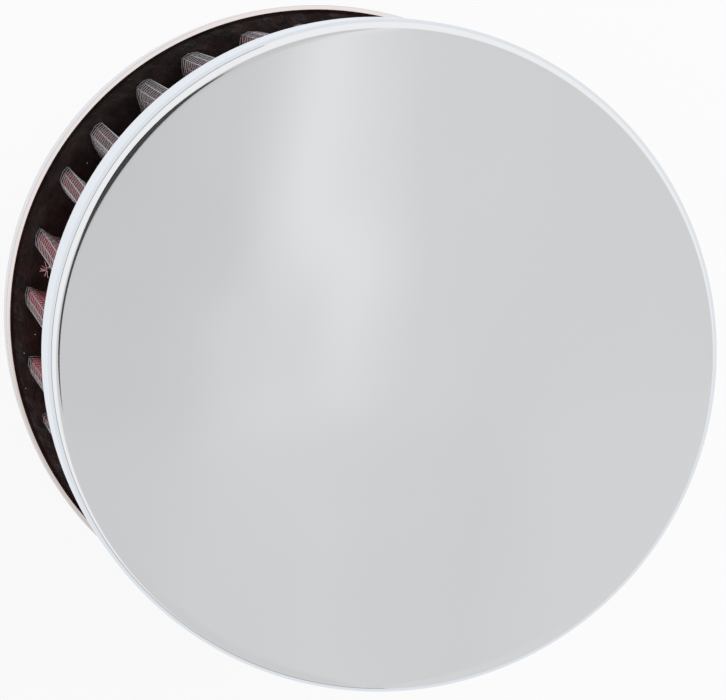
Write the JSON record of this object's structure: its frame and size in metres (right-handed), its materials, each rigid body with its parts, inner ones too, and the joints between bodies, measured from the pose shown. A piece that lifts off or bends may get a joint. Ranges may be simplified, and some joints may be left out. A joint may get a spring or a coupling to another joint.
{
  "type": "crankcase breather filter",
  "caption": "Round crankcase breather filter: a pleated wire-backed gauze element between a polished stamped cap and pan, with a push-in neck for venting an engine.",
  "frame": {"origin": "on the filter's axis at the underside of the pan, where the neck begins", "axes": "+Z along the axis from the neck towards the cap; the filter is round, so X and Y run through two of the pleats' crests or gaps"},
  "size_m": [0.0536, 0.0536, 0.0708],
  "materials": {
    "chrome": "polished chrome plate",
    "resin": "dark cast resin, slightly glossy",
    "wire": "fine woven wire, bare",
    "gauze": "oiled cotton gauze, dyed red",
    "plated_steel": "plated tube, satin"
  },
  "bodies": {
    "root": {"top_cap": "chrome", "top_sealant": "resin", "outer_wire_screen": "wire", "gauze_element": "gauze", "inner_wire_screen": "wire", "base_sealant": "resin", "base_pan": "chrome", "neck_tube": "plated_steel"}
  },
  "joints": []
}
